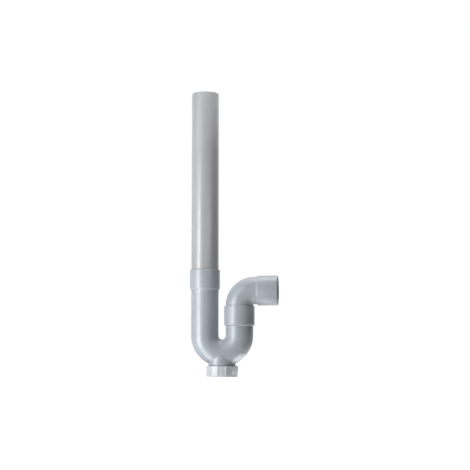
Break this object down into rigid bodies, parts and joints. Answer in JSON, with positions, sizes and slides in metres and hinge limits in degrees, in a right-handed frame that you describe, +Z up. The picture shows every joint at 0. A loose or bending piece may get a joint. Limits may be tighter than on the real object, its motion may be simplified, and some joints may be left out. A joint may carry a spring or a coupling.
{
  "type": "washing machine trap",
  "caption": "Standpipe washing machine trap with a U-bend water seal, a screw clean-out cap under the bend and a swivelling elbow with an outlet socket.",
  "frame": {"origin": "centre of the clean-out cap's flat bottom face, which is the lowest face of the trap", "axes": "+Z up along the standpipe, +X from the standpipe's leg towards the outlet, +Y square to the plane of the U-bend"},
  "size_m": [0.1292, 0.0474, 0.4179],
  "materials": {
    "fitting_plastic": "semi-gloss moulded bluish grey PVC",
    "elbow_plastic": "semi-gloss moulded bluish grey PVC",
    "pipe_plastic": "satin extruded grey PVC",
    "cap_plastic": "semi-gloss moulded light grey plastic",
    "seal_rubber": "matt black rubber"
  },
  "bodies": {
    "trap": {"trap_body": "fitting_plastic", "standpipe": "pipe_plastic"},
    "seal": {"cap_seal": "seal_rubber"},
    "cap": {"cleanout_cap": "cap_plastic"},
    "outlet": {"outlet_elbow": "elbow_plastic"}
  },
  "joints": [
    {"name": "cap_travel", "type": "slide", "parent": "trap", "child": "seal", "axis": [0, 0, -1], "range_m": [0, 0.01]},
    {"name": "cap_turn", "type": "hinge", "parent": "seal", "child": "cap", "pos_m": [0, 0, 0.0079], "axis": [0, 0, -1], "range_deg": [0, 900]},
    {"name": "outlet_swivel", "type": "hinge", "parent": "trap", "child": "outlet", "pos_m": [0.0254, 0, 0.0885], "axis": [0, 0, 1], "range_deg": [-120, 120]}
  ],
  "couplings": [
    {"joint": "cap_travel", "follows": "cap_turn", "m_per_rad": 0.00063662}
  ]
}
